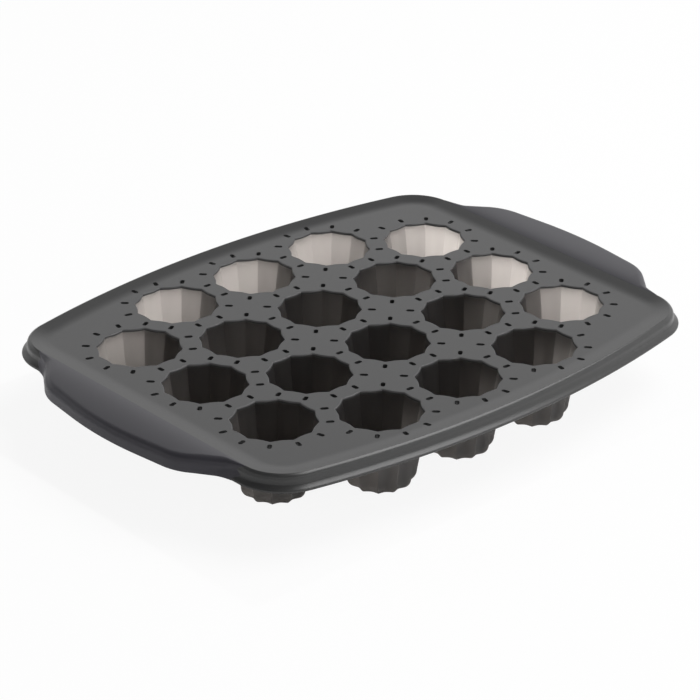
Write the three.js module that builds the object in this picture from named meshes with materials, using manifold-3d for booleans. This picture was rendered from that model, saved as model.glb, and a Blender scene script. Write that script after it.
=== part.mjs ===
// A flexible silicone tray of small fluted cups for baking caneles, with a grip at each end.
// Millimetres, +Z up. X runs from grip to grip and Y along the columns of cups.
// The origin is on the surface that the cups stand on, under the middle of the tray.
import * as THREE from 'three';
import { mergeVertices } from 'three/addons/utils/BufferGeometryUtils.js';
import Module from 'manifold-3d';

// Cups
const CUPS_IN_COLUMN = [3, 4, 4, 4, 3]; // from the left grip to the right
const MOUTH_R = 17.9; // bore at the deck, over the ridges
const BASE_R = 13.9; // bore above the rounded bottom edge, over the ridges
const CUP_DEPTH = 32.4; // deck top above the surface that the cups stand on
const CUP_WALL = 1.1;
const BOTTOM_ROUND = 6; // outside radius of the bottom edge
const FLUTES = 12;
const FLUTE_DEPTH = 1.07; // at the mouth, less where the cup is narrower
const STAND_RING = 1.4; // width of the flat ring under each cup
const FLOOR_RECESS = 0.6; // floor above the standing ring
const FLOOR_DOME = 0.5; // rise of the floor's middle
const WEB = 7.2; // deck between two neighbouring mouths

// Deck and the slots round each mouth
const DECK_THICK = 2;
const SLOT_LENGTH = 3.6;
const SLOT_WIDTH = 2;

// Rim: a lip round the deck, a flared bead under it and a wire inside the bead
const END_MARGIN = 16.7; // last mouth to the crest, at the grips
const SIDE_MARGIN = 14; // last mouth to the crest, in the middle of the long sides
const SIDE_BOW = 15; // drop of the long sides' arc over the whole half length
const RIM_CORNER = 20;
const LIP_RISE = 1.2; // crest above the deck
const LIP_TOE = 0.3; // lip that reaches in past the bead, to the deck's edge
const CREST_R = 1.2;
const SKIRT_STEP = 0.2; // lip below the deck's underside
const BEAD_WALL = 0.9; // silicone round the wire's channel
const BEAD_FLARE = 2.2; // bead outside the skirt
const BEAD_EDGE = 0.8; // upright outer edge of the bead
const WIRE_R = 1;

// Grips
const GRIP_REACH = 19.4; // crest to the outer edge
const GRIP_PLATE = 2.6; // thickness over the pocket
const GRIP_CURB = 2.6; // wall round the pocket
const GRIP_DROOP = 1.4; // fall of the top from the crest to the outer edge
const GRIP_STEP = 0.2; // top of the grip below the crest
const GRIP_ROOT = 66; // half the span at the rim
const GRIP_KNEE = 57.5; // half the span where the sides turn out
const GRIP_KNEE_OUT = 3.2; // that turn, out from the crest
const GRIP_SHOULDER = 42; // half the span at the outer corners
const GRIP_SWEEP = 7; // degrees that the outer edge has swept back at those corners
const GRIP_CURVE = 170; // radius of the outer edge
const GRIP_KNEE_R = 20;
const GRIP_SHOULDER_R = 24;
const POCKET_R = 2;

const SEAM = 0.3; // clearance between neighbouring pieces
const PAST = 1; // how far a cutter passes through a face

// Facets
const FLUTE_FACETS = 2;
const OUTER_ROUND_FACETS = 2;
const INNER_ROUND_FACETS = 1;
const CREST_ANGLES = [120, 90, 45, 0]; // degrees from the skirt's side over the crest
const ARC_FACETS = 6;
const WIRE_FACETS = 8;
const FLOOR_FACETS = 12;

const PITCH = 2 * MOUTH_R + WEB;
const NEST = (PITCH * Math.sqrt(3)) / 2; // outer columns nest between the rows of the next
const DECK_BOTTOM = CUP_DEPTH - DECK_THICK;
const COLUMN_X = [-PITCH - NEST, -PITCH, 0, PITCH, PITCH + NEST];
const COLUMN_NAMES = 'abcde';
const FLUTE_STEP = (2 * Math.PI) / FLUTES;

const HALF_LENGTH = COLUMN_X[4] + MOUTH_R + END_MARGIN;
const HALF_WIDTH = (Math.max(...CUPS_IN_COLUMN) - 1) / 2 * PITCH + MOUTH_R + SIDE_MARGIN;
const BOW_R = (HALF_LENGTH ** 2 + SIDE_BOW ** 2) / (2 * SIDE_BOW);

const CHANNEL = 2 * (WIRE_R + SEAM);
const CHANNEL_OUT = CREST_R - BEAD_WALL;
const CHANNEL_IN = CHANNEL_OUT - CHANNEL;
const BEAD_IN = CHANNEL_IN - BEAD_WALL;
const BEAD_OUT = CREST_R + BEAD_FLARE;
const LIP_IN = BEAD_IN - LIP_TOE;
const BEAD_TOP = DECK_BOTTOM - SKIRT_STEP;
const CHANNEL_FLOOR = BEAD_TOP - CHANNEL;
const BEAD_BOTTOM = CHANNEL_FLOOR - BEAD_WALL;
const CREST_Z = CUP_DEPTH + LIP_RISE;
const GRIP_TOP = CREST_Z - GRIP_STEP;

const wasm = await Module();
wasm.setup();

// The same surface with its shared corners merged and nothing but positions left
function bareMesh(geometry) {
  const bare = geometry.clone();
  bare.deleteAttribute('normal');
  bare.deleteAttribute('uv');
  return mergeVertices(bare);
}

// Closed geometry to a solid that can be joined and cut
function toSolid(geometry) {
  const merged = bareMesh(geometry);
  return new wasm.Manifold(new wasm.Mesh({
    numProp: 3,
    vertProperties: new Float32Array(merged.attributes.position.array),
    triVerts: new Uint32Array(merged.index.array),
  }));
}

function toGeometry(solid) {
  const mesh = solid.getMesh();
  const geometry = new THREE.BufferGeometry();
  geometry.setAttribute('position', new THREE.BufferAttribute(mesh.vertProperties, 3));
  geometry.setIndex(new THREE.BufferAttribute(mesh.triVerts, 1));
  return geometry;
}

// Upright prism over an outline
function prism(outline, low, high) {
  const geometry = new THREE.ExtrudeGeometry(new THREE.Shape(outline), {
    depth: high - low,
    bevelEnabled: false,
  });
  return geometry.translate(0, 0, low);
}

function onCircle(x, y, radius, angle) {
  return new THREE.Vector2(x + radius * Math.cos(angle), y + radius * Math.sin(angle));
}

function arc(x, y, radius, from, to, facets) {
  const points = [];
  for (let i = 0; i <= facets; i++) points.push(onCircle(x, y, radius, from + ((to - from) * i) / facets));
  return points;
}

// Outline with its corners rounded; each corner is [x, y, radius]
function rounded(corners) {
  const points = [];
  corners.forEach(([x, y, radius], i) => {
    const corner = new THREE.Vector2(x, y);
    if (!radius) {
      points.push(corner);
      return;
    }
    const before = corners.at(i - 1);
    const after = corners[(i + 1) % corners.length];
    const back = new THREE.Vector2(before[0], before[1]).sub(corner).normalize();
    const on = new THREE.Vector2(after[0], after[1]).sub(corner).normalize();
    const halfAngle = Math.acos(back.dot(on)) / 2;
    const middle = back.clone().add(on).setLength(radius / Math.sin(halfAngle)).add(corner);
    const tangent = radius / Math.tan(halfAngle);
    const from = back.multiplyScalar(tangent).add(corner).sub(middle).angle();
    const to = on.multiplyScalar(tangent).add(corner).sub(middle).angle();
    const turn = Math.atan2(Math.sin(to - from), Math.cos(to - from));
    points.push(...arc(middle.x, middle.y, radius, from, from + turn, ARC_FACETS));
  });
  return points;
}

// Cups: twelve hollow flutes meet in ridges that point outwards, halfway between the lattice's directions
function fluted(radius, angle) {
  const hollow = Math.abs(Math.sin((FLUTES / 2) * (angle - FLUTE_STEP / 2)));
  return radius * (1 - (FLUTE_DEPTH / MOUTH_R) * hollow);
}

function cupPlaces() {
  const places = [];
  CUPS_IN_COLUMN.forEach((count, column) => {
    for (let row = 0; row < count; row++) {
      places.push({
        name: `cup_${COLUMN_NAMES[column]}${row + 1}`,
        x: COLUMN_X[column],
        y: ((count - 1) / 2 - row) * PITCH,
      });
    }
  });
  return places;
}

// Turns a profile of [radius, height] points round Z
function turned(profile, facets, start) {
  const points = profile.map(([radius, height]) => new THREE.Vector2(radius, height));
  return new THREE.LatheGeometry(points, facets, start).rotateX(Math.PI / 2);
}

const ROUND_CENTRE = BASE_R + CUP_WALL - BOTTOM_ROUND;
const RING_IN = ROUND_CENTRE - STAND_RING;

function cupWall() {
  const outer = arc(ROUND_CENTRE, BOTTOM_ROUND, BOTTOM_ROUND, -Math.PI / 2, 0, OUTER_ROUND_FACETS);
  const innerRound = BOTTOM_ROUND - CUP_WALL;
  const inner = arc(ROUND_CENTRE, BOTTOM_ROUND, innerRound, 0, -Math.PI / 2, INNER_ROUND_FACETS);
  const profile = [
    [RING_IN, 0],
    ...outer.map((point) => point.toArray()),
    [MOUTH_R + CUP_WALL, DECK_BOTTOM],
    [MOUTH_R, DECK_BOTTOM],
    ...inner.map((point) => point.toArray()),
    [RING_IN, CUP_WALL],
    [RING_IN, 0],
  ];
  const geometry = turned(profile, FLUTES * FLUTE_FACETS, FLUTE_STEP / 2);
  const position = geometry.attributes.position;
  for (let i = 0; i < position.count; i++) {
    const x = position.getX(i);
    const y = position.getY(i);
    const share = fluted(1, Math.atan2(y, x));
    position.setXY(i, x * share, y * share);
  }
  return geometry;
}

// Round disc that closes a cup; it is pushed up from below to turn the cake out
function cupFloor() {
  const radius = fluted(RING_IN, 0) - SEAM;
  const top = FLOOR_RECESS + CUP_WALL;
  return turned([
    [0, FLOOR_RECESS + FLOOR_DOME],
    [radius, FLOOR_RECESS],
    [radius, top],
    [0, top + FLOOR_DOME],
  ], FLOOR_FACETS, 0);
}

// Crest line of the rim moved out by an offset: straight ends, round corners and bowed long sides
function rimOutline(offset) {
  const bowY = HALF_WIDTH - BOW_R;
  const cornerX = HALF_LENGTH - RIM_CORNER;
  const cornerY = bowY + Math.sqrt((BOW_R - RIM_CORNER) ** 2 - cornerX ** 2);
  const meet = Math.atan2(cornerY - bowY, cornerX);
  const half = [
    ...arc(cornerX, cornerY, RIM_CORNER + offset, 0, meet, ARC_FACETS),
    ...arc(0, bowY, BOW_R + offset, meet, Math.PI - meet, ARC_FACETS).slice(1, -1),
    ...arc(-cornerX, cornerY, RIM_CORNER + offset, Math.PI - meet, Math.PI, ARC_FACETS),
  ];
  return [...half, ...half.map((point) => point.clone().negate())];
}

// Ring round the tray with a section of [offset, height] points
function rimRing(section) {
  const rings = section.map(([offset]) => rimOutline(offset));
  const count = rings[0].length;
  const positions = [];
  rings.forEach((ring, j) => {
    for (const point of ring) positions.push(point.x, point.y, section[j][1]);
  });
  const index = [];
  for (let j = 0; j < section.length; j++) {
    const here = j * count;
    const next = ((j + 1) % section.length) * count;
    for (let i = 0; i < count; i++) {
      const k = (i + 1) % count;
      index.push(here + i, next + k, here + k, here + i, next + i, next + k);
    }
  }
  const geometry = new THREE.BufferGeometry();
  geometry.setAttribute('position', new THREE.Float32BufferAttribute(positions, 3));
  geometry.setIndex(index);
  return geometry;
}

function rimLip() {
  const crest = CREST_ANGLES.map((degrees) => (
    onCircle(0, CREST_Z - CREST_R, CREST_R, THREE.MathUtils.degToRad(degrees)).toArray()));
  return rimRing([
    [LIP_IN, CUP_DEPTH],
    ...crest,
    [CREST_R, BEAD_TOP],
    [BEAD_IN, BEAD_TOP],
    [BEAD_IN, DECK_BOTTOM],
    [LIP_IN, DECK_BOTTOM],
  ]);
}

function rimBead() {
  return rimRing([
    [CREST_R, BEAD_TOP],
    [BEAD_OUT, BEAD_BOTTOM + BEAD_EDGE],
    [BEAD_OUT, BEAD_BOTTOM],
    [BEAD_IN, BEAD_BOTTOM],
    [BEAD_IN, BEAD_TOP],
    [CHANNEL_IN, BEAD_TOP],
    [CHANNEL_IN, CHANNEL_FLOOR],
    [CHANNEL_OUT, CHANNEL_FLOOR],
    [CHANNEL_OUT, BEAD_TOP],
  ]);
}

function rimWire() {
  const middle = (CHANNEL_IN + CHANNEL_OUT) / 2;
  const height = BEAD_TOP - CHANNEL / 2;
  const section = arc(middle, height, WIRE_R, 0, -2 * Math.PI, WIRE_FACETS).slice(1);
  return rimRing(section.map((point) => point.toArray()));
}

// Slots lie on the ridges of every cup; two neighbouring cups share those that lie between them
function slotPlaces(cups) {
  const ring = PITCH / 2 / Math.cos(FLUTE_STEP / 2);
  const places = [];
  for (const cup of cups) {
    for (let k = 0; k < FLUTES; k++) {
      const angle = (k + 0.5) * FLUTE_STEP;
      const place = onCircle(cup.x, cup.y, ring, angle);
      if (places.some((other) => place.distanceTo(other.place) < SLOT_WIDTH)) continue;
      const across = cups.find((other) => (
        other !== cup && Math.hypot(other.x - place.x, other.y - place.y) < ring + SEAM));
      const facing = across ? Math.atan2(across.y - cup.y, across.x - cup.x) : angle;
      places.push({ place, facing });
    }
  }
  return places;
}

function deckPlate(cups) {
  const low = DECK_BOTTOM - PAST;
  const high = CUP_DEPTH + PAST;
  let plate = toSolid(prism(rimOutline(LIP_IN - SEAM), DECK_BOTTOM, CUP_DEPTH));
  const mouth = [];
  for (let i = 0; i < FLUTES * FLUTE_FACETS; i++) {
    const angle = ((i + FLUTE_FACETS / 2) * FLUTE_STEP) / FLUTE_FACETS;
    mouth.push(onCircle(0, 0, fluted(MOUTH_R, angle), angle));
  }
  for (const cup of cups) {
    plate = plate.subtract(toSolid(prism(mouth, low, high).translate(cup.x, cup.y, 0)));
  }
  for (const { place, facing } of slotPlaces(cups)) {
    const cutter = new THREE.BoxGeometry(SLOT_LENGTH, SLOT_WIDTH, high - low);
    cutter.rotateZ(facing).translate(place.x, place.y, (low + high) / 2);
    plate = plate.subtract(toSolid(cutter));
  }
  return toGeometry(plate);
}

// Tilts a level piece of a grip so that its top falls away from the rim, over a level underside
function drooped(geometry) {
  const position = geometry.attributes.position;
  for (let i = 0; i < position.count; i++) {
    const out = (position.getX(i) - HALF_LENGTH) / GRIP_REACH;
    const up = (position.getZ(i) - BEAD_BOTTOM) / (GRIP_TOP - BEAD_BOTTOM);
    position.setZ(i, position.getZ(i) - GRIP_DROOP * out * Math.max(0, up));
  }
  return geometry;
}

// Right grip: a plate with a curb turned down round it, level with the bead below and cut to the rim's outside
function grip() {
  const sweep = THREE.MathUtils.degToRad(GRIP_SWEEP);
  const tipX = HALF_LENGTH + GRIP_REACH + GRIP_CURVE * (1 / Math.cos(sweep) - 1);
  const shoulderX = tipX - GRIP_SHOULDER * Math.tan(sweep);
  const outline = rounded([
    [HALF_LENGTH, -GRIP_ROOT, 0],
    [HALF_LENGTH + GRIP_KNEE_OUT, -GRIP_KNEE, GRIP_KNEE_R],
    [shoulderX, -GRIP_SHOULDER, GRIP_SHOULDER_R],
    [tipX, 0, GRIP_CURVE],
    [shoulderX, GRIP_SHOULDER, GRIP_SHOULDER_R],
    [HALF_LENGTH + GRIP_KNEE_OUT, GRIP_KNEE, GRIP_KNEE_R],
    [HALF_LENGTH, GRIP_ROOT, 0],
  ]);
  const pocketX = HALF_LENGTH + BEAD_OUT + SEAM + GRIP_CURB;
  const pocket = rounded([
    [pocketX, -GRIP_SHOULDER - GRIP_CURB, POCKET_R],
    [shoulderX - GRIP_CURB, -GRIP_SHOULDER + GRIP_CURB, POCKET_R],
    [tipX - GRIP_CURB, 0, GRIP_CURVE],
    [shoulderX - GRIP_CURB, GRIP_SHOULDER - GRIP_CURB, POCKET_R],
    [pocketX, GRIP_SHOULDER + GRIP_CURB, POCKET_R],
  ]);
  const rimSection = [
    [-GRIP_REACH, CREST_Z + PAST],
    [CREST_R + SEAM, CREST_Z + PAST],
    [CREST_R + SEAM, BEAD_TOP],
    [BEAD_OUT + SEAM, BEAD_BOTTOM + BEAD_EDGE],
    [BEAD_OUT + SEAM, BEAD_BOTTOM - PAST],
    [-GRIP_REACH, BEAD_BOTTOM - PAST],
  ].map(([offset, height]) => new THREE.Vector2(HALF_LENGTH + offset, height));
  const rim = prism(rimSection, -HALF_WIDTH, HALF_WIDTH).rotateX(Math.PI / 2);
  return toGeometry(
    toSolid(drooped(prism(outline, BEAD_BOTTOM, GRIP_TOP)))
      .subtract(toSolid(drooped(prism(pocket, BEAD_BOTTOM - PAST, GRIP_TOP - GRIP_PLATE))))
      .subtract(toSolid(rim)),
  );
}

function silicone(color) {
  return new THREE.MeshStandardMaterial({ color, roughness: 0.6, metalness: 0 });
}

const tray = new THREE.Group();
function addPiece(name, geometry, material) {
  const piece = new THREE.Mesh(bareMesh(geometry), material);
  piece.geometry.computeVertexNormals();
  piece.name = name;
  tray.add(piece);
  return piece;
}

const DECK_GREY = 0x60605e;
const GRIP_GREY = 0x5a5a60;
const CUP_GREY = 0x464646;
const FLOOR_GREY = 0x3c3c3c;

const cups = cupPlaces();
addPiece('deck', deckPlate(cups), silicone(DECK_GREY));
addPiece('rim_lip', rimLip(), silicone(DECK_GREY));
addPiece('rim_bead', rimBead(), silicone(DECK_GREY));
addPiece('rim_wire', rimWire(), new THREE.MeshStandardMaterial({
  color: 0xb8b8bc,
  roughness: 0.35,
  metalness: 1,
}));
addPiece('grip_right', grip(), silicone(GRIP_GREY));
addPiece('grip_left', grip(), silicone(GRIP_GREY)).rotation.z = Math.PI;
for (const { name, x, y } of cups) {
  addPiece(`${name}_wall`, cupWall(), silicone(CUP_GREY)).position.set(x, y, 0);
  addPiece(`${name}_floor`, cupFloor(), silicone(FLOOR_GREY)).position.set(x, y, 0);
}

export default tray;
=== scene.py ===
# A flexible tray of eighteen small fluted baking cups, moulded in grey silicone, with a grip at each end.
# Metres, +Z up; X runs from grip to grip, and the cups stand on Z = 0.
import math

import bpy
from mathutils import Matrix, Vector


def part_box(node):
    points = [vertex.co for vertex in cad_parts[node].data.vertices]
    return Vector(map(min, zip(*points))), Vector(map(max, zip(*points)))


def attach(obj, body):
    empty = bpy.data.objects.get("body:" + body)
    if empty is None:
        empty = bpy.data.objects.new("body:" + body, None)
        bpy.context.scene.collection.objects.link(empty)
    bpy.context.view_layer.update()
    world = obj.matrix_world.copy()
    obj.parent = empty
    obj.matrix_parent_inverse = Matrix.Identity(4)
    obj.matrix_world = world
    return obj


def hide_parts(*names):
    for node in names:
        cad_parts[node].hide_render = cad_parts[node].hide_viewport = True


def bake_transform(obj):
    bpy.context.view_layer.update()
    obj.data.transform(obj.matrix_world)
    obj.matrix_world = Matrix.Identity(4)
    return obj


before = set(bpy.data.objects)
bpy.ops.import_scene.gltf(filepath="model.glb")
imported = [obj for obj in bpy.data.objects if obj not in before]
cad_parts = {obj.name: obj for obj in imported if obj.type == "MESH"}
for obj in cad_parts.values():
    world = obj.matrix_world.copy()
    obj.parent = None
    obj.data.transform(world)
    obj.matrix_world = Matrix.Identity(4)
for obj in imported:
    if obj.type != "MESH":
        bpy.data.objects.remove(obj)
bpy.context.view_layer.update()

# Deck: the flat sheet that joins the cups, part of one moulding in matt grey silicone.
# It turns up towards the rim in a hollow curve, and is pierced by a fluted mouth for every cup
# and by a ring of short slots round each mouth.
MM = 0.001
deck_low, deck_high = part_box("deck")
deck_top = deck_high.z
deck_bottom = deck_low.z
lip_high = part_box("rim_lip")[1]
crest_radius = 1.2 * MM
half_length = lip_high.x - crest_radius
half_width = lip_high.y - crest_radius
side_bow = 15 * MM
bow_radius = (half_length**2 + side_bow**2) / (2 * side_bow)
side_steps = 48
corner_radius = 20 * MM
corner_steps = 16
toe_start = -9.5 * MM
toe_radius = 26 * MM
lip_slope = math.radians(10.5)
deck_edge = -3.6 * MM
deck_flat = -11 * MM
deck_steps = 10
deck_crease = math.radians(30)
mouth_radius = 17.9 * MM
mouth_roll = 0.6 * MM
mouth_bevel = 0.9
ridges = 12
flute_steps = 8
flute_at_mouth = 0.06
slot_length = 3.6 * MM
slot_width = 2.0 * MM
slot_facets = 16
cutter_height = 8 * MM
deck_grey = (0.033, 0.033, 0.0345, 1)
deck_warm = (0.037, 0.037, 0.0365, 1)
deck_rough = 0.32
silicone_sheen = 0.5
mottle_scale = 28
mottle_detail = 3
grain_scale = 2200
grain_detail = 2
grain_rough = 0.05
grain_height = 0.05 * MM
grain_strength = 0.12

cup_centres = {}
for node_name in sorted(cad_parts):
    if node_name.endswith("_wall"):
        wall_low, wall_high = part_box(node_name)
        cup_centres[node_name.removesuffix("_wall")] = (wall_low + wall_high) / 2
pitch = (cup_centres["cup_c1"] - cup_centres["cup_c2"]).length


def arc(x, y, radius, start, end, steps):
    """Points along an arc, from one end to the other."""
    turn = (end - start) / steps
    return [
        (x + radius * math.cos(start + turn * i), y + radius * math.sin(start + turn * i))
        for i in range(steps + 1)
    ]


def crest_line(offset):
    """The rim's crest moved out by an offset: straight ends, round corners and bowed long sides."""
    bow_y = half_width - bow_radius
    corner_x = half_length - corner_radius
    corner_y = bow_y + math.sqrt((bow_radius - corner_radius) ** 2 - corner_x**2)
    meet = math.atan2(corner_y - bow_y, corner_x)
    half = arc(corner_x, corner_y, corner_radius + offset, 0, meet, corner_steps)
    half += arc(0, bow_y, bow_radius + offset, meet, math.pi - meet, side_steps)[1:-1]
    half += arc(-corner_x, corner_y, corner_radius + offset, math.pi - meet, math.pi, corner_steps)
    return half + [(-x, -y) for x, y in half]


def toe_rise(offset):
    """Height of the upper side above the flat deck: a hollow toe, then a straight slope up to the crest."""
    run = max(0, offset - toe_start)
    bend = toe_radius * math.sin(lip_slope)
    if run < bend:
        return toe_radius - math.sqrt(toe_radius**2 - run**2)
    return toe_radius * (1 - math.cos(lip_slope)) + (run - bend) * math.tan(lip_slope)


def skin(name, rings):
    """A closed mesh through a row of rings with as many points each, with a face over both ends."""
    count = len(rings[0])
    points = [point for ring in rings for point in ring]
    faces = [list(range(count)), list(range(len(points) - 1, len(points) - count - 1, -1))]
    for j in range(len(rings) - 1):
        for i in range(count):
            k = (i + 1) % count
            faces.append([j * count + i, (j + 1) * count + i, (j + 1) * count + k, j * count + k])
    mesh = bpy.data.meshes.new(name)
    mesh.from_pydata(points, [], faces)
    return mesh


def deck_plate():
    """The sheet before it is pierced, from its flat middle out over the turned-up edge and back below."""
    offsets = [deck_flat + (deck_edge - deck_flat) * i / deck_steps for i in range(deck_steps + 1)]
    rings = [[(x, y, deck_top + toe_rise(offset)) for x, y in crest_line(offset)] for offset in offsets]
    rings += [[(x, y, deck_bottom) for x, y in crest_line(offset)] for offset in (deck_edge, deck_flat)]
    return skin("deck_plate", rings)


def slot_places():
    """Slots lie on every ridge of every cup, and two neighbouring cups share those between them."""
    ring = pitch / 2 / math.cos(math.pi / ridges)
    places = []
    for name, centre in cup_centres.items():
        for k in range(ridges):
            angle = (2 * k + 1) * math.pi / ridges
            place = Vector((centre.x + ring * math.cos(angle), centre.y + ring * math.sin(angle), deck_top))
            if any((place - other).length < slot_width for other, _ in places):
                continue
            facing = angle
            for other_name, other in cup_centres.items():
                gap = math.hypot(other.x - place.x, other.y - place.y)
                if other_name != name and gap < ring + slot_width:
                    facing = math.atan2(other.y - centre.y, other.x - centre.x)
            places.append((place, facing))
    return places


def added(name, data):
    """A new object in the scene."""
    made = bpy.data.objects.new(name, data)
    bpy.context.scene.collection.objects.link(made)
    return made


def place_points(name, places):
    """A bare cloud of points, each with the way that it faces."""
    mesh = bpy.data.meshes.new(name)
    mesh.from_pydata([place for place, _ in places], [], [])
    facing = mesh.attributes.new("facing", "FLOAT", "POINT")
    facing.data.foreach_set("value", [turn for _, turn in places])
    return added(name, mesh)


def node(tree, kind, inputs=None, **settings):
    """A new node with its settings, and with each named input linked or set."""
    made = tree.nodes.new(kind)
    for name, value in settings.items():
        setattr(made, name, value)
    for name, value in (inputs or {}).items():
        if isinstance(value, bpy.types.NodeSocket):
            tree.links.new(value, made.inputs[name])
        else:
            made.inputs[name].default_value = value
    return made


def math_node(tree, operation, *values):
    made = node(tree, "ShaderNodeMath", dict(enumerate(values)), operation=operation)
    return made.outputs[0]


def ramp(tree, value, start, end, low=0, high=1, curve="LINEAR"):
    """Runs from low to high while the value goes from start to end, and stays level beyond them."""
    made = node(tree, "ShaderNodeMapRange", {
        "Value": value,
        "From Min": start,
        "From Max": end,
        "To Min": low,
        "To Max": high,
    }, interpolation_type=curve)
    return made.outputs[0]


def open_tree(name, inputs):
    """A new Geometry Nodes tree with one input of geometry and the named ones."""
    tree = bpy.data.node_groups.new(name, "GeometryNodeTree")
    tree.interface.new_socket("Geometry", in_out="INPUT", socket_type="NodeSocketGeometry")
    for label, kind in inputs.items():
        tree.interface.new_socket(label, in_out="INPUT", socket_type="NodeSocket" + kind)
    tree.interface.new_socket("Geometry", in_out="OUTPUT", socket_type="NodeSocketGeometry")
    return tree, tree.nodes.new("NodeGroupInput").outputs


def close_tree(tree, geometry, material):
    """Ends a tree with real geometry in one material."""
    real = node(tree, "GeometryNodeRealizeInstances", {"Geometry": geometry})
    coated = node(tree, "GeometryNodeSetMaterial", {"Geometry": real.outputs[0], "Material": material})
    node(tree, "NodeGroupOutput", {"Geometry": coated.outputs[0]})


def grown(name, mesh, tree, values):
    """A plain mesh object that a tree makes from a starting mesh and named values."""
    piece = added(name, mesh)
    rule = piece.modifiers.new("rule", "NODES")
    rule.node_group = tree
    for socket in tree.interface.items_tree:
        if socket.in_out == "INPUT" and socket.name in values:
            rule[socket.identifier] = values[socket.name]
    evaluated = piece.evaluated_get(bpy.context.evaluated_depsgraph_get())
    made = bpy.data.meshes.new_from_object(evaluated)
    made.materials.clear()
    made.materials.append(values["Material"])
    piece.modifiers.remove(rule)
    piece.data = made
    return piece


def smooth(piece, crease):
    """Smooth shading, with a crisp edge where the surface turns by more than the crease."""
    piece.data.shade_smooth()
    piece.data.set_sharp_from_angle(angle=crease)


def flute_share(tree, ridge_count, angle, depth):
    """Radius over the ridges' radius: hollow flutes that meet in ridges."""
    half = math_node(tree, "DIVIDE", math.pi, ridge_count)
    turned = math_node(tree, "SUBTRACT", angle, half)
    waves = math_node(tree, "DIVIDE", ridge_count, 2.0)
    wave = math_node(tree, "SINE", math_node(tree, "MULTIPLY", turned, waves))
    hollow = math_node(tree, "ABSOLUTE", wave)
    return math_node(tree, "SUBTRACT", 1.0, math_node(tree, "MULTIPLY", hollow, depth))


def scaled_round(tree, geometry, share):
    """Moves points in or out from the Z axis by a share of their radius."""
    position = node(tree, "GeometryNodeInputPosition").outputs[0]
    scale = node(tree, "ShaderNodeCombineXYZ", {"X": share, "Y": share, "Z": 1.0}).outputs[0]
    moved = node(tree, "ShaderNodeVectorMath", {0: position, 1: scale}, operation="MULTIPLY").outputs[0]
    return node(tree, "GeometryNodeSetPosition", {"Geometry": geometry, "Position": moved}).outputs[0]


def piercing_tree():
    """Cuts a fluted mouth, wider below, and a slot with round ends at each of their places."""
    tree, given = open_tree("piercing", {
        "Mouth places": "Object",
        "Slot places": "Object",
        "Ridges": "Int",
        "Flute steps": "Int",
        "Mouth radius": "Float",
        "Mouth bevel": "Float",
        "Flute depth": "Float",
        "Slot length": "Float",
        "Slot width": "Float",
        "Slot facets": "Int",
        "Cutter height": "Float",
        "Material": "Material",
    })
    position = node(tree, "GeometryNodeInputPosition").outputs[0]
    parts = node(tree, "ShaderNodeSeparateXYZ", {0: position})
    angle = math_node(tree, "ARCTAN2", parts.outputs["Y"], parts.outputs["X"])
    around = math_node(tree, "MULTIPLY", given["Ridges"], given["Flute steps"])
    half_height = math_node(tree, "MULTIPLY", given["Cutter height"], 0.5)
    widening = math_node(tree, "MULTIPLY", half_height, given["Mouth bevel"])
    round_cutter = node(tree, "GeometryNodeMeshCone", {
        "Vertices": around,
        "Radius Top": math_node(tree, "SUBTRACT", given["Mouth radius"], widening),
        "Radius Bottom": math_node(tree, "ADD", given["Mouth radius"], widening),
        "Depth": given["Cutter height"],
    })
    share = flute_share(tree, given["Ridges"], angle, given["Flute depth"])
    mouth = scaled_round(tree, round_cutter.outputs["Mesh"], share)

    slot_end = math_node(tree, "MULTIPLY", given["Slot width"], 0.5)
    pin = node(tree, "GeometryNodeMeshCylinder", {
        "Vertices": given["Slot facets"],
        "Radius": slot_end,
        "Depth": given["Cutter height"],
    })
    half_slot = math_node(tree, "MULTIPLY", given["Slot length"], 0.5)
    spread = math_node(tree, "SUBTRACT", half_slot, slot_end)
    side = math_node(tree, "SIGN", parts.outputs["X"])
    shift = node(tree, "ShaderNodeCombineXYZ", {"X": math_node(tree, "MULTIPLY", side, spread)})
    slot = node(tree, "GeometryNodeSetPosition", {
        "Geometry": pin.outputs["Mesh"],
        "Offset": shift.outputs[0],
    })

    facing = node(tree, "GeometryNodeInputNamedAttribute", {"Name": "facing"}, data_type="FLOAT")
    turn = node(tree, "ShaderNodeCombineXYZ", {"Z": facing.outputs["Attribute"]})
    cutters = node(tree, "GeometryNodeJoinGeometry")
    for places, cutter in (("Slot places", slot.outputs[0]), ("Mouth places", mouth)):
        cloud = node(tree, "GeometryNodeObjectInfo", {"Object": given[places]})
        points = node(tree, "GeometryNodeMeshToPoints", {"Mesh": cloud.outputs["Geometry"]})
        copies = node(tree, "GeometryNodeInstanceOnPoints", {
            "Points": points.outputs[0],
            "Instance": cutter,
            "Rotation": node(tree, "FunctionNodeEulerToRotation", {0: turn.outputs[0]}).outputs[0],
        })
        tree.links.new(copies.outputs[0], cutters.inputs[0])
    real_cutters = node(tree, "GeometryNodeRealizeInstances", {"Geometry": cutters.outputs[0]})
    pierced = node(tree, "GeometryNodeMeshBoolean", {
        "Mesh 1": given["Geometry"],
        "Mesh 2": real_cutters.outputs[0],
    }, operation="DIFFERENCE", solver="EXACT")
    close_tree(tree, pierced.outputs["Mesh"], given["Material"])
    return tree


def new_material(name):
    """A new material, with its tree and its main shader."""
    material = bpy.data.materials.new(name)
    material.use_nodes = True
    tree = material.node_tree
    return material, tree, tree.nodes["Principled BSDF"]


def noise(tree, scale, detail):
    """Noise from 0 to 1 that is fixed to the piece."""
    where = node(tree, "ShaderNodeTexCoord").outputs["Object"]
    made = node(tree, "ShaderNodeTexNoise", {"Vector": where, "Scale": scale, "Detail": detail})
    return made.outputs["Fac"]


def between(tree, share, first, second):
    """A colour that lies a share of the way from the first to the second."""
    made = node(tree, "ShaderNodeMix", {"Factor": share, "A": first, "B": second}, data_type="RGBA")
    return made.outputs["Result"]


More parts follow.
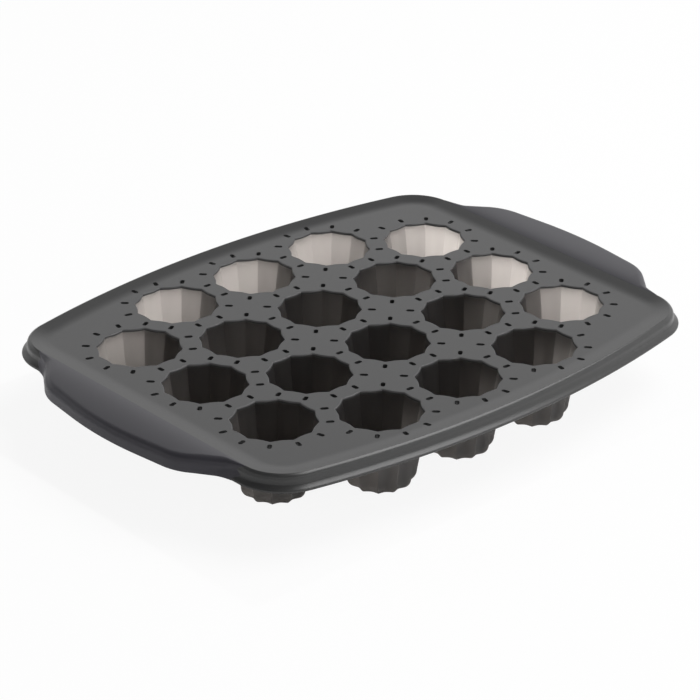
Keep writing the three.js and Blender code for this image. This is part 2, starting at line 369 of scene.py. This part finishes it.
def silicone(name, grey, warm, rough):
    """Matt silicone: mottled grey, with the fine grain of a blasted mould."""
    material, tree, shader = new_material(name)
    tone = between(tree, noise(tree, mottle_scale, mottle_detail), grey, warm)
    tree.links.new(tone, shader.inputs["Base Color"])
    grain = noise(tree, grain_scale, grain_detail)
    finish = ramp(tree, grain, 0, 1, rough - grain_rough, rough + grain_rough)
    tree.links.new(finish, shader.inputs["Roughness"])
    bump = node(tree, "ShaderNodeBump", {
        "Height": grain,
        "Strength": grain_strength,
        "Distance": grain_height,
    })
    tree.links.new(bump.outputs[0], shader.inputs["Normal"])
    shader.inputs["Specular IOR Level"].default_value = silicone_sheen
    return material


deck_silicone = silicone("deck_silicone", deck_grey, deck_warm, deck_rough)
mouth_z = deck_top - cutter_height / 2
mouth_places = [(Vector((centre.x, centre.y, mouth_z)), 0) for centre in cup_centres.values()]
mouth_points = place_points("mouth_points", mouth_places)
slot_points = place_points("slot_points", slot_places())
deck = grown("deck_sheet", deck_plate(), piercing_tree(), {
    "Mouth places": mouth_points,
    "Slot places": slot_points,
    "Ridges": ridges,
    "Flute steps": flute_steps,
    "Mouth radius": mouth_radius + mouth_roll,
    "Mouth bevel": mouth_bevel,
    "Flute depth": flute_at_mouth,
    "Slot length": slot_length,
    "Slot width": slot_width,
    "Slot facets": slot_facets,
    "Cutter height": cutter_height,
    "Material": deck_silicone,
})
for points in (mouth_points, slot_points):
    bpy.data.objects.remove(points)
smooth(deck, deck_crease)
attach(deck, "tray")
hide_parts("deck")

# Cups: thin fluted wells of the same moulding, about 1 mm thick, so that light from behind glows through
# their walls. Each has a rolled mouth, twelve hollow flutes, a rounded foot and a slightly domed floor,
# which is pushed up from below to turn a cake out.
cup_wall = 1.1 * MM
base_radius = 13.9 * MM
flute_at_base = 0.105
foot_round = 6 * MM
foot_steps = 10
roll_steps = 5
floor_recess = 0.6 * MM
floor_dome = 0.5 * MM
floor_radius = 6.8 * MM
standing_ring = 1.2 * MM
root_fillet = 1.4 * MM
seam_gap = 0.001 * MM
cup_crease = math.radians(25)
cup_grey = (0.054, 0.054, 0.056, 1)
cup_warm = (0.059, 0.058, 0.058, 1)
cup_rough = 0.4
# Painted shade: the inside of each cup gets a darker grey and a weaker sheen than its outside.
inner_painted_shade_grey = (0.024, 0.024, 0.025, 1)
inner_painted_shade_sheen = 0.12
glow_cream = (1.0, 0.965, 0.925, 1)
glow_rose = (1.0, 0.945, 0.92, 1)
glow_scale = 90
glow_detail = 1
glow_share = 0.40
scatter_share = 0.85
glow_full_z = deck_top - 1.1 * MM
glow_none_z = deck_top - 0.8 * MM


def cup_profile():
    """Radius over the ridges and height, from the floor's middle up the inside and down the outside."""
    round_x = base_radius + cup_wall - foot_round
    inner_round = foot_round - cup_wall
    floor_top = floor_recess + cup_wall
    roll_x = mouth_radius + mouth_roll
    roll_z = deck_top - mouth_roll
    inside = [(0, floor_top + floor_dome), (floor_radius, floor_top)]
    inside += arc(round_x, foot_round, inner_round, -math.pi / 2, 0, foot_steps)
    inside += [(mouth_radius, deck_bottom)]
    roll = arc(roll_x, roll_z, mouth_roll, math.pi, math.pi / 2, roll_steps)
    fillet_x = mouth_radius + cup_wall + root_fillet
    fillet_z = deck_bottom - root_fillet
    outside = [(roll_x + mouth_bevel * mouth_roll, roll_z)]
    outside += arc(fillet_x, fillet_z, root_fillet, math.pi / 2, math.pi, roll_steps)
    outside += arc(round_x, foot_round, foot_round, 0, -math.pi / 2, foot_steps)
    outside += [(round_x - standing_ring, 0), (floor_radius, floor_recess), (0, floor_recess + floor_dome)]
    profile = inside + roll + outside
    mesh = bpy.data.meshes.new("cup_profile")
    links = [(i, i + 1) for i in range(len(profile) - 1)]
    mesh.from_pydata([(radius, 0, height) for radius, height in profile], links, [])
    # Marks the points inside the cup, where the material paints shade.
    inner = mesh.attributes.new("inner", "FLOAT", "POINT")
    inner.data.foreach_set("value", [float(i < len(inside)) for i in range(len(profile))])
    return mesh


def fluted_cup_tree():
    """Turns a profile round a centre and draws it in between the ridges, more at the foot than above.

    The turned sheet keeps the profile's mark of which points are inside the cup, where the cup's material
    paints shade."""
    tree, given = open_tree("fluted cup", {
        "Ridges": "Int",
        "Flute steps": "Int",
        "Flute depth at mouth": "Float",
        "Flute depth at base": "Float",
        "Mouth height": "Float",
        "Seam gap": "Float",
        "Centre": "Vector",
        "Material": "Material",
    })
    profile = given["Geometry"]
    rows = node(tree, "GeometryNodeAttributeDomainSize", {"Geometry": profile}).outputs["Point Count"]
    around = math_node(tree, "MULTIPLY", given["Ridges"], given["Flute steps"])
    sheet = node(tree, "GeometryNodeMeshGrid", {
        "Vertices X": math_node(tree, "ADD", around, 1.0),
        "Vertices Y": rows,
    })
    index = node(tree, "GeometryNodeInputIndex").outputs[0]
    row = math_node(tree, "MODULO", index, rows)
    row_middle = math_node(tree, "ADD", index, 0.5)
    column = math_node(tree, "FLOOR", math_node(tree, "DIVIDE", row_middle, rows))
    angle = math_node(tree, "MULTIPLY", column, math_node(tree, "DIVIDE", 2 * math.pi, around))
    sample = node(tree, "GeometryNodeSampleIndex", {
        "Geometry": profile,
        "Value": node(tree, "GeometryNodeInputPosition").outputs[0],
        "Index": row,
    }, data_type="FLOAT_VECTOR", domain="POINT")
    parts = node(tree, "ShaderNodeSeparateXYZ", {0: sample.outputs[0]})
    radius, height = parts.outputs["X"], parts.outputs["Z"]
    depth_at_base, depth_at_mouth = given["Flute depth at base"], given["Flute depth at mouth"]
    depth = ramp(tree, height, 0, given["Mouth height"], depth_at_base, depth_at_mouth)
    fluted = math_node(tree, "MULTIPLY", radius, flute_share(tree, given["Ridges"], angle, depth))
    turned = node(tree, "ShaderNodeCombineXYZ", {
        "X": math_node(tree, "MULTIPLY", fluted, math_node(tree, "COSINE", angle)),
        "Y": math_node(tree, "MULTIPLY", fluted, math_node(tree, "SINE", angle)),
        "Z": height,
    })
    placed = node(tree, "ShaderNodeVectorMath", {0: turned.outputs[0], 1: given["Centre"]}, operation="ADD")
    shaped = node(tree, "GeometryNodeSetPosition", {
        "Geometry": sheet.outputs["Mesh"],
        "Position": placed.outputs[0],
    })
    inner = node(tree, "GeometryNodeInputNamedAttribute", {"Name": "inner"}, data_type="FLOAT")
    inner_sample = node(tree, "GeometryNodeSampleIndex", {
        "Geometry": profile,
        "Value": inner.outputs["Attribute"],
        "Index": row,
    }, data_type="FLOAT", domain="POINT")
    marked = node(tree, "GeometryNodeStoreNamedAttribute", {
        "Geometry": shaped.outputs[0],
        "Name": "inner",
        "Value": inner_sample.outputs[0],
    }, data_type="FLOAT", domain="POINT")
    sewn = node(tree, "GeometryNodeMergeByDistance", {
        "Geometry": marked.outputs[0],
        "Distance": given["Seam gap"],
    })
    outward = node(tree, "GeometryNodeFlipFaces", {"Mesh": sewn.outputs[0]})
    close_tree(tree, outward.outputs[0], given["Material"])
    return tree


def mixed(tree, share, first, second):
    """A surface that is a share of the second shader and the rest of the first."""
    return node(tree, "ShaderNodeMixShader", {0: share, 1: first, 2: second}).outputs[0]


def thin_silicone():
    """Silicone of one thin wall, with painted shade inside the cup: a darker grey and less sheen there than
    outside it.

    Below the deck some of the light behind the wall comes through, cream to rose."""
    material = silicone("cup_silicone", cup_grey, cup_warm, cup_rough)
    tree = material.node_tree
    shader = tree.nodes["Principled BSDF"]
    inner = node(tree, "ShaderNodeAttribute", attribute_name="inner").outputs["Fac"]
    outer_tone = shader.inputs["Base Color"].links[0].from_socket
    # Painted shade: inside the cup the grey is darker and the sheen weaker than outside.
    tree.links.new(between(tree, inner, outer_tone, inner_painted_shade_grey), shader.inputs["Base Color"])
    sheen = ramp(tree, inner, 0, 1, silicone_sheen, inner_painted_shade_sheen)
    tree.links.new(sheen, shader.inputs["Specular IOR Level"])
    tint = between(tree, noise(tree, glow_scale, glow_detail), glow_cream, glow_rose)
    clear = node(tree, "ShaderNodeBsdfTransparent", {"Color": tint})
    milky = node(tree, "ShaderNodeBsdfTranslucent", {"Color": tint})
    through = mixed(tree, scatter_share, clear.outputs[0], milky.outputs[0])
    where = node(tree, "ShaderNodeTexCoord").outputs["Object"]
    height = node(tree, "ShaderNodeSeparateXYZ", {0: where}).outputs["Z"]
    thin = ramp(tree, height, glow_full_z, glow_none_z, glow_share, 0)
    surface = mixed(tree, thin, shader.outputs[0], through)
    tree.links.new(surface, tree.nodes["Material Output"].inputs["Surface"])
    return material


cup_silicone = thin_silicone()
cup_rule = fluted_cup_tree()
for name, centre in cup_centres.items():
    cup = grown(name + "_shell", cup_profile(), cup_rule, {
        "Ridges": ridges,
        "Flute steps": flute_steps,
        "Flute depth at mouth": flute_at_mouth,
        "Flute depth at base": flute_at_base,
        "Mouth height": deck_bottom,
        "Seam gap": seam_gap,
        "Centre": (centre.x, centre.y, 0),
        "Material": cup_silicone,
    })
    smooth(cup, cup_crease)
    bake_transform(cup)
    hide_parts(name + "_wall", name + "_floor")

# Rim: the edge of the moulding, a lip that is tight on its inner side and rolls over a wide shoulder
# on its outer side, with a skirt below it that ends in a flared bead.
crest_z = lip_high.z
bead_low, bead_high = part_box("rim_bead")
bead_bottom = bead_low.z
bead_out = bead_high.x - half_length
bead_in = -3.2 * MM
bead_round = 0.7 * MM
bead_start = math.radians(40)
bead_steps = 7
flare_top = deck_bottom - 0.7 * MM
flare_bend = 1.3
flare_steps = 8
lip_steps = 6
crest_round = 0.3 * MM
crest_steps = 4
shoulder_round = 2.5 * MM
shoulder_start = math.radians(72)
shoulder_steps = 10
rim_crease = math.radians(35)
rim_grey = (0.033, 0.033, 0.034, 1)
rim_warm = (0.037, 0.037, 0.036, 1)
rim_rough = 0.32


def rim_section():
    """Offset from the crest line and height, from the deck over the crest and down to the bead."""
    growth = shoulder_round - crest_round
    shoulder_x = crest_radius - shoulder_round
    shoulder_z = crest_z - crest_round - growth * math.sin(shoulder_start)
    crest_x = shoulder_x + growth * math.cos(shoulder_start)
    crest_low = crest_z - crest_round
    lip_end = crest_x - crest_round * math.sin(lip_slope)
    section = []
    for i in range(lip_steps):
        offset = deck_edge + (lip_end - deck_edge) * i / lip_steps
        section.append((offset, deck_top + toe_rise(offset)))
    section += arc(crest_x, crest_low, crest_round, math.pi / 2 + lip_slope, shoulder_start, crest_steps)
    section += arc(shoulder_x, shoulder_z, shoulder_round, shoulder_start, 0, shoulder_steps)[1:]
    edge_x = bead_out - bead_round
    edge_z = bead_bottom + bead_round
    flare_x = edge_x + bead_round * math.cos(bead_start) - crest_radius
    flare_z = flare_top - edge_z - bead_round * math.sin(bead_start)
    for i in range(flare_steps):
        along = i / flare_steps
        section.append((crest_radius + flare_x * along**flare_bend, flare_top - flare_z * along))
    section += arc(edge_x, edge_z, bead_round, bead_start, -math.pi / 2, bead_steps)
    section += [
        (bead_in, bead_bottom),
        (bead_in, deck_bottom),
        (deck_edge, deck_bottom),
    ]
    return section


def closed_line(name, points):
    """A bare line of edges through points and back to the first."""
    mesh = bpy.data.meshes.new(name)
    mesh.from_pydata(points, [(i, (i + 1) % len(points)) for i in range(len(points))], [])
    return mesh


def edging_tree():
    """Sweeps a closed section round a closed level path."""
    tree, given = open_tree("edging", {"Section": "Object", "Material": "Material"})
    path = node(tree, "GeometryNodeMeshToCurve", {"Mesh": given["Geometry"]})
    upright = node(tree, "GeometryNodeSetCurveNormal", {"Curve": path.outputs[0]}, mode="Z_UP")
    cut = node(tree, "GeometryNodeObjectInfo", {"Object": given["Section"]})
    section = node(tree, "GeometryNodeMeshToCurve", {"Mesh": cut.outputs["Geometry"]})
    swept = node(tree, "GeometryNodeCurveToMesh", {
        "Curve": upright.outputs[0],
        "Profile Curve": section.outputs[0],
    })
    close_tree(tree, swept.outputs[0], given["Material"])
    return tree


rim_silicone = silicone("rim_silicone", rim_grey, rim_warm, rim_rough)
section_points = [(offset, crest_z - height, 0) for offset, height in rim_section()]
section_line = added("rim_section", closed_line("rim_section", section_points))
crest_path = closed_line("crest_path", [(x, y, crest_z) for x, y in crest_line(0)])
rim = grown("rim_edge", crest_path, edging_tree(), {"Section": section_line, "Material": rim_silicone})
bpy.data.objects.remove(section_line)
smooth(rim, rim_crease)
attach(rim, "tray")
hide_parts("rim_lip", "rim_bead")

# Wire: a closed ring of drawn steel that is moulded into the bead and keeps the rim straight.
# It is out of sight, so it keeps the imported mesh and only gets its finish.
steel_grey = (0.50, 0.50, 0.52, 1)
steel_scale = 900
steel_detail = 2
steel_bright = 0.28
steel_dull = 0.42

wire_steel, wire_tree, wire_shader = new_material("wire_steel")
wire_shader.inputs["Base Color"].default_value = steel_grey
wire_shader.inputs["Metallic"].default_value = 1
drawn_finish = ramp(wire_tree, noise(wire_tree, steel_scale, steel_detail), 0, 1, steel_bright, steel_dull)
wire_tree.links.new(drawn_finish, wire_shader.inputs["Roughness"])
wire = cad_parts["rim_wire"]
wire.data.materials.clear()
wire.data.materials.append(wire_steel)

# Grips: a broad tongue at each end, moulded with the rim, to lift the tray by.
# The rim's inner slope runs on into its softly arched top, its edge is rolled over all round,
# and it has a pocket underneath.
grip_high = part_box("grip_right")[1]
grip_reach = grip_high.x - half_length
grip_start = -0.7 * MM
grip_lap = 0.02 * MM
grip_swell = 4.5 * MM
grip_droop = 1.2 * MM
grip_plate = 2.6 * MM
grip_root = 66 * MM
grip_knee = 57.5 * MM
grip_knee_out = 3.2 * MM
grip_knee_radius = 20 * MM
grip_shoulder = 42 * MM
grip_shoulder_radius = 24 * MM
grip_sweep = math.radians(7)
grip_curve = 170 * MM
grip_corner_steps = 12
grip_top_steps = 14
grip_least_width = 0.3 * MM
grip_least_lean = 0.3
grip_roll = 3 * MM
grip_roll_share = 0.7
grip_roll_steps = 6
grip_flare = 8 * MM
grip_flare_bend = 1.8
grip_flare_steps = 6
grip_hem = 0.8 * MM
grip_hem_share = 0.2
grip_hem_steps = 4
grip_curb = 2.6 * MM
grip_curb_share = 0.5
grip_crease = math.radians(35)
grip_grey = (0.028, 0.027, 0.033, 1)
grip_warm = (0.031, 0.030, 0.035, 1)
grip_rough = 0.38
grip_tint = (0.95, 0.93, 1.0, 1)


def rounded(corners):
    """An outline with its corners rounded; each corner is x, y and a radius."""
    points = []
    for i, (x, y, radius) in enumerate(corners):
        corner = Vector((x, y))
        if not radius:
            points.append((x, y))
            continue
        back = (Vector(corners[i - 1][:2]) - corner).normalized()
        on = (Vector(corners[(i + 1) % len(corners)][:2]) - corner).normalized()
        half_angle = back.angle(on) / 2
        middle = corner + (back + on).normalized() * (radius / math.sin(half_angle))
        tangent = radius / math.tan(half_angle)
        spoke = corner + back * tangent - middle
        start = math.atan2(spoke.y, spoke.x)
        turn = math.pi - 2 * half_angle
        if back.x * on.y - back.y * on.x > 0:
            turn = -turn
        points += arc(middle.x, middle.y, radius, start, start + turn, grip_corner_steps)
    return points


def grip_edge():
    """Outer edge of the right grip, from one root on the rim to the other."""
    tip_x = half_length + grip_reach + grip_curve * (1 / math.cos(grip_sweep) - 1)
    shoulder_x = tip_x - grip_shoulder * math.tan(grip_sweep)
    knee_x = half_length + grip_knee_out
    return rounded([
        (half_length, -grip_root, 0),
        (knee_x, -grip_knee, grip_knee_radius),
        (shoulder_x, -grip_shoulder, grip_shoulder_radius),
        (tip_x, 0, grip_curve),
        (shoulder_x, grip_shoulder, grip_shoulder_radius),
        (knee_x, grip_knee, grip_knee_radius),
        (half_length, grip_root, 0),
    ])


def grip_top(run):
    """Height of the upper side: the rim's slope flattens out, then falls away towards the outer edge."""
    start = deck_top + toe_rise(grip_start) + grip_lap
    swell = math.tan(lip_slope) * grip_swell * (1 - math.exp(-run / grip_swell))
    return start + swell - grip_droop * (run / grip_reach) ** 2


def quarter(x, z, wide, high, start, steps):
    """A quarter of an oval round x, z, clockwise from the start."""
    turns = [start - math.pi / 2 * i / steps for i in range(steps + 1)]
    return [(x + wide * math.cos(turn), z + high * math.sin(turn)) for turn in turns]


def grip_rib(x_edge, lean):
    """One cross-section of the right grip at a level place along its edge, as X and height.

    The lean is the share of the edge's run that lies along Y, so that slanted edges roll as wide."""
    root_x = half_length + grip_start
    width = max(x_edge - root_x, grip_least_width)
    x_edge = root_x + width
    roll_x = min(grip_roll / lean, width * grip_roll_share)
    roll_z = min(grip_roll, roll_x)
    hem = min(grip_hem / lean, width * grip_hem_share)
    curb = min(grip_curb / lean, width * grip_curb_share)
    flare = (bead_out - crest_radius) * min(1, max(0, 1 - (width - crest_radius) / grip_flare))
    runs = [(width - roll_x) * i / grip_top_steps for i in range(grip_top_steps + 1)]
    rib = [(root_x + run, grip_top(run)) for run in runs]
    edge_top = rib[-1][1]
    side_top = edge_top - roll_z
    side_height = side_top - bead_bottom - grip_hem
    rib += quarter(x_edge - roll_x, side_top, roll_x, roll_z, math.pi / 2, grip_roll_steps)[1:]
    for i in range(1, grip_flare_steps):
        down = i / grip_flare_steps
        rib.append((x_edge + flare * down**grip_flare_bend, side_top - side_height * down))
    rib += quarter(x_edge + flare - hem, bead_bottom + grip_hem, hem, grip_hem, 0, grip_hem_steps)
    rib += [
        (x_edge - curb, bead_bottom),
        (x_edge - curb, edge_top - grip_plate),
        (root_x, deck_bottom),
    ]
    return rib


def grip_mesh(side):
    """The grip at the +X end for side 1, or turned half round for side -1."""
    edge = grip_edge()
    ribs = []
    for i, (x, y) in enumerate(edge):
        before = Vector(edge[max(i - 1, 0)])
        after = Vector(edge[min(i + 1, len(edge) - 1)])
        lean = max(abs((after - before).normalized().y), grip_least_lean)
        ribs.append([(side * rib_x, side * y, rib_z) for rib_x, rib_z in grip_rib(x, lean)])
    mesh = skin("grip", ribs)
    mesh.flip_normals()
    return mesh


grip_silicone = silicone("grip_silicone", grip_grey, grip_warm, grip_rough)
grip_silicone.node_tree.nodes["Principled BSDF"].inputs["Specular Tint"].default_value = grip_tint
for node_name, side in (("grip_right", 1), ("grip_left", -1)):
    grip = added(node_name + "_tongue", grip_mesh(side))
    grip.data.materials.append(grip_silicone)
    smooth(grip, grip_crease)
    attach(grip, "tray")
    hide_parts(node_name)

# Stage: a white floor that keeps the tray's soft shadow, a white surround that is dimmer on the left,
# a large softbox overhead on the right, a low fill in front, lamps on the floor behind and beside the tray
# that shine through the cup walls, and the camera at the photograph's angle.
floor_size = 12
floor_z = -0.05 * MM
floor_white = (0.9, 0.9, 0.9, 1)
floor_rough = 0.9
shade_reach = (0.133, 0.098, 1)
shade_inner = 0.9
shade_outer = 1.1
white_beyond = 0.94
white_in_view = 0.9
mirrored_dim_x = -0.2
mirrored_white_x = 0.1
surround_white = (1, 1, 1, 1)
surround_left = 0.66
surround_right = 1.0
left_direction = -0.6
right_direction = 0.3
surround_low = 1.57
surround_high = 0.1
low_direction = 0.45
high_direction = 0.6
surround_horizon = 0.2
horizon_direction = 0.5
box_size = (1.0, 0.66)
box_place = Vector((0.54, -0.27, 1.07))
box_power = 11.5
fill_size = (1.6, 0.16)
fill_place = Vector((0.7, -0.9, 0.1))
fill_power = 8.5
floor_glows = (
    ((0.54, 0.045), Vector((-0.05, 0.122, 0.001)), 0.82),
    ((0.06, 0.21), Vector((0.145, 0.055, 0.001)), 0.53),
)
camera_azimuth = math.radians(-41.6)
camera_elevation = math.radians(26.68)
camera_distance = 1.3517
camera_aim = Vector((-16.63 * MM, -16.71 * MM, deck_top))
camera_lens = 168.2

floor_mesh = bpy.data.meshes.new("floor")
half_floor = floor_size / 2
floor_corners = [
    (x * half_floor, y * half_floor, floor_z)
    for x, y in ((-1, -1), (1, -1), (1, 1), (-1, 1))
]
floor_mesh.from_pydata(floor_corners, [], [(0, 1, 2, 3)])
floor = added("floor", floor_mesh)
floor_paint, floor_tree, floor_shader = new_material("floor_paint")
floor_shader.inputs["Base Color"].default_value = floor_white
floor_shader.inputs["Roughness"].default_value = floor_rough
floor_shader.inputs["Specular IOR Level"].default_value = 0
floor_where = node(floor_tree, "ShaderNodeTexCoord").outputs["Object"]
from_tray = node(floor_tree, "ShaderNodeVectorMath", {0: floor_where, 1: shade_reach}, operation="DIVIDE")
from_middle = node(floor_tree, "ShaderNodeVectorMath", {0: from_tray.outputs[0]}, operation="ABSOLUTE")
reach = node(floor_tree, "ShaderNodeSeparateXYZ", {0: from_middle.outputs[0]})
farther = math_node(floor_tree, "MAXIMUM", reach.outputs["X"], reach.outputs["Y"])
outside = ramp(floor_tree, farther, shade_inner, shade_outer, 0, white_beyond, "SMOOTHSTEP")
path = node(floor_tree, "ShaderNodeLightPath")
# A ray that has gone through no cup wall sees the floor nearly white under the tray too.
unveiled = math_node(floor_tree, "LESS_THAN", path.outputs["Transparent Depth"], 0.5)
in_view = math_node(floor_tree, "MULTIPLY", unveiled, white_in_view)
whiteness = math_node(floor_tree, "MAXIMUM", outside, in_view)
seen_straight = math_node(floor_tree, "MULTIPLY", whiteness, path.outputs["Is Camera Ray"])
floor_x = node(floor_tree, "ShaderNodeSeparateXYZ", {0: floor_where}).outputs["X"]
lit_side = ramp(floor_tree, floor_x, mirrored_dim_x, mirrored_white_x)
mirrored = math_node(floor_tree, "MULTIPLY", outside, lit_side)
seen_mirrored = math_node(floor_tree, "MULTIPLY", mirrored, path.outputs["Is Glossy Ray"])
seen_white = math_node(floor_tree, "MAXIMUM", seen_straight, seen_mirrored)
white_seen = node(floor_tree, "ShaderNodeEmission", {"Strength": 1.0})
floor_surface = mixed(floor_tree, seen_white, floor_shader.outputs[0], white_seen.outputs[0])
floor_tree.links.new(floor_surface, floor_tree.nodes["Material Output"].inputs["Surface"])
floor_mesh.materials.append(floor_paint)

world = bpy.data.worlds.new("white surround")
world.use_nodes = True
bpy.context.scene.world = world
sky = world.node_tree
surround = sky.nodes["Background"]
surround.inputs["Color"].default_value = surround_white
way = node(sky, "ShaderNodeSeparateXYZ", {0: node(sky, "ShaderNodeTexCoord").outputs["Generated"]})
across, up = way.outputs["X"], way.outputs["Z"]
side_level = ramp(sky, across, left_direction, right_direction, surround_left, surround_right, "SMOOTHSTEP")
height_level = ramp(sky, up, low_direction, high_direction, surround_low, surround_high)
horizon_level = ramp(sky, up, 0, horizon_direction, surround_horizon, 1)
sky_level = math_node(sky, "MULTIPLY", height_level, horizon_level)
lit_level = math_node(sky, "MULTIPLY", side_level, sky_level)
eye = node(sky, "ShaderNodeLightPath").outputs["Is Camera Ray"]
sky.links.new(math_node(sky, "MAXIMUM", lit_level, eye), surround.inputs["Strength"])


def area_lamp(name, size, place, power):
    """A rectangular lamp that faces the middle of the tray."""
    light = bpy.data.lights.new(name, "AREA")
    light.shape = "RECTANGLE"
    light.size, light.size_y = size
    light.energy = power
    lamp = added(name, light)
    lamp.location = place
    lamp.rotation_euler = place.to_track_quat("Z", "Y").to_euler()
    return lamp


area_lamp("softbox", box_size, box_place, box_power)
fill_lamp = area_lamp("fill", fill_size, fill_place, fill_power)
fill_lamp.visible_glossy = False
for size, place, power in floor_glows:
    glow_lamp = area_lamp("floor glow", size, place, power)
    glow_lamp.rotation_euler = (math.pi, 0, 0)
    glow_lamp.visible_glossy = False
    glow_lamp.visible_camera = False

camera_data = bpy.data.cameras.new("camera")
camera_data.lens = camera_lens
camera = added("camera", camera_data)
back = Vector((
    math.sin(camera_azimuth) * math.cos(camera_elevation),
    -math.cos(camera_azimuth) * math.cos(camera_elevation),
    math.sin(camera_elevation),
))
camera.location = camera_aim + back * camera_distance
camera.rotation_euler = back.to_track_quat("Z", "Y").to_euler()
bpy.context.scene.camera = camera
bpy.context.scene.view_settings.view_transform = "Standard"
